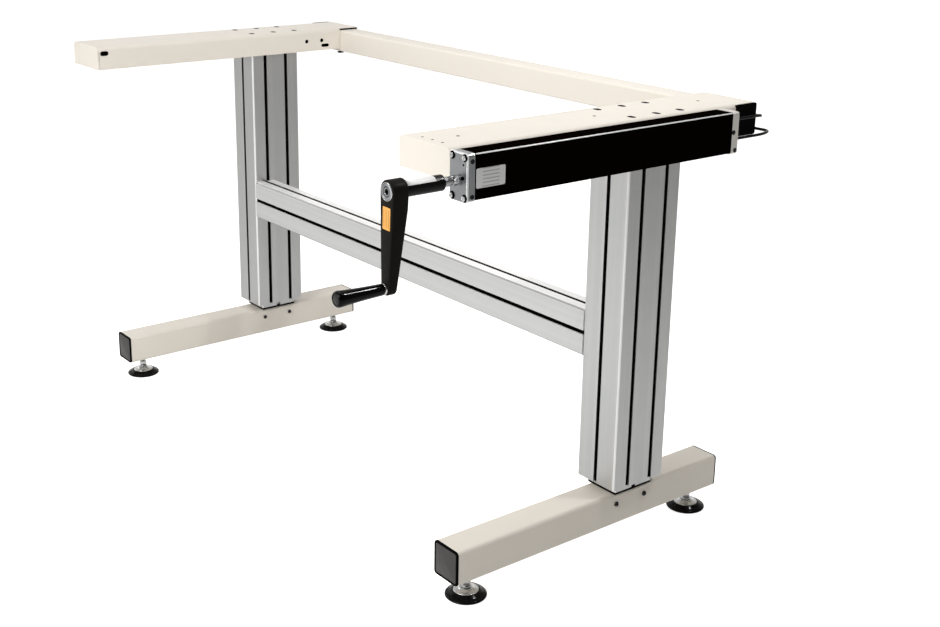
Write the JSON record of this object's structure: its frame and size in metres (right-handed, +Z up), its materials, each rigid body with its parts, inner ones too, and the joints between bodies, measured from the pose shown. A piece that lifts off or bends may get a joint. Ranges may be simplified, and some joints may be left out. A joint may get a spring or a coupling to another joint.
{
  "type": "height-adjustable workbench frame",
  "caption": "Height-adjustable workbench frame: telescopic aluminium legs on cross feet, raised by a hand crank, screw pump and hydraulic hoses, with beams and crossbars for a worktop.",
  "frame": {"origin": "on the floor, below the middle of the bounding box, frame lowered and crank arm down", "axes": "+X from the left leg to the right leg (crank side), +Y from front to rear, +Z up"},
  "size_m": [1.3642, 0.8895, 0.767],
  "materials": {
    "cream_paint": "satin cream powder coat",
    "anodised_aluminium": "matt natural anodised, drawn ribs",
    "black_anodised": "satin black anodised",
    "grey_casting": "satin grey, milled",
    "zinc_steel": "bright zinc plated",
    "chrome": "polished chrome",
    "ground_steel": "ground and polished",
    "black_steel": "black oxide",
    "dark_grey_paint": "satin charcoal coat",
    "black_plastic": "matt moulded plastic",
    "gloss_black": "gloss moulded plastic",
    "black_rubber": "matt moulded rubber",
    "hose_cover": "smooth satin hose cover"
  },
  "bodies": {
    "base": {"foot_tube_left": "cream_paint", "foot_cap_front_left": "black_plastic", "foot_cap_rear_left": "black_plastic", "leg_anchor_left": "black_steel", "leg_sole_left": "black_plastic", "foot_bolt_front_left": "zinc_steel", "foot_bolt_rear_left": "zinc_steel", "inner_column_left": "anodised_aluminium", "piston_rod_left": "ground_steel", "foot_tube_right": "cream_paint", "foot_cap_front_right": "black_plastic", "foot_cap_rear_right": "black_plastic", "leg_anchor_right": "black_steel", "leg_sole_right": "black_plastic", "foot_bolt_front_right": "zinc_steel", "foot_bolt_rear_right": "zinc_steel", "inner_column_right": "anodised_aluminium", "piston_rod_right": "ground_steel"},
    "lift": {"outer_column_left": "anodised_aluminium", "slide_bush_left": "black_plastic", "column_head_left": "black_steel", "cylinder_left": "black_steel", "top_beam_left": "cream_paint", "crossbar_cap_left": "black_plastic", "crossbar_clip_left": "black_plastic", "hose_fitting_left": "zinc_steel", "hose_left": "hose_cover", "outer_column_right": "anodised_aluminium", "slide_bush_right": "black_plastic", "column_head_right": "black_steel", "cylinder_right": "black_steel", "top_beam_right": "cream_paint", "crossbar_cap_right": "black_plastic", "crossbar_clip_right": "black_plastic", "hose_fitting_right": "zinc_steel", "hose_right": "hose_cover", "rear_crossbar": "cream_paint", "lower_crossbar": "anodised_aluminium", "pump_housing": "black_anodised", "pump_front_plate": "grey_casting", "pump_rear_plate": "grey_casting", "pump_screw_1": "black_steel", "pump_screw_2": "black_steel", "pump_screw_3": "black_steel", "pump_screw_4": "black_steel"},
    "crank": {"crank_shaft": "ground_steel", "crank_sleeve": "black_plastic", "crank_arm": "dark_grey_paint", "crank_hub_cap": "chrome", "grip_pin": "chrome"},
    "grip": {"crank_grip": "gloss_black"},
    "pump_piston": {"pump_piston": "ground_steel"},
    "leveller_front_left": {"level_pad_front_left": "black_rubber", "level_stem_front_left": "zinc_steel"},
    "leveller_rear_left": {"level_pad_rear_left": "black_rubber", "level_stem_rear_left": "zinc_steel"},
    "leveller_front_right": {"level_pad_front_right": "black_rubber", "level_stem_front_right": "zinc_steel"},
    "leveller_rear_right": {"level_pad_rear_right": "black_rubber", "level_stem_rear_right": "zinc_steel"}
  },
  "joints": [
    {"name": "crank_turn", "type": "hinge", "parent": "lift", "child": "crank", "pos_m": [0.6639, -0.23955, 0.7263], "axis": [0, 1, 0], "range_deg": [0, 14400]},
    {"name": "height", "type": "slide", "parent": "base", "child": "lift", "axis": [0, 0, 1], "range_m": [0, 0.3]},
    {"name": "pump_stroke", "type": "slide", "parent": "lift", "child": "pump_piston", "axis": [0, 1, 0], "range_m": [0, 0.4]},
    {"name": "grip_spin", "type": "hinge", "parent": "crank", "child": "grip", "pos_m": [0.6592, -0.40455, 0.5879], "axis": [0, 1, 0], "continuous": true},
    {"name": "level_front_left", "type": "slide", "parent": "base", "child": "leveller_front_left", "axis": [0, 0, -1], "range_m": [0, 0.02]},
    {"name": "level_rear_left", "type": "slide", "parent": "base", "child": "leveller_rear_left", "axis": [0, 0, -1], "range_m": [0, 0.02]},
    {"name": "level_front_right", "type": "slide", "parent": "base", "child": "leveller_front_right", "axis": [0, 0, -1], "range_m": [0, 0.02]},
    {"name": "level_rear_right", "type": "slide", "parent": "base", "child": "leveller_rear_right", "axis": [0, 0, -1], "range_m": [0, 0.02]}
  ],
  "couplings": [
    {"joint": "crank_turn", "follows": "height", "rad_per_m": 837.76},
    {"joint": "pump_stroke", "follows": "height", "ratio": 1.3333}
  ]
}
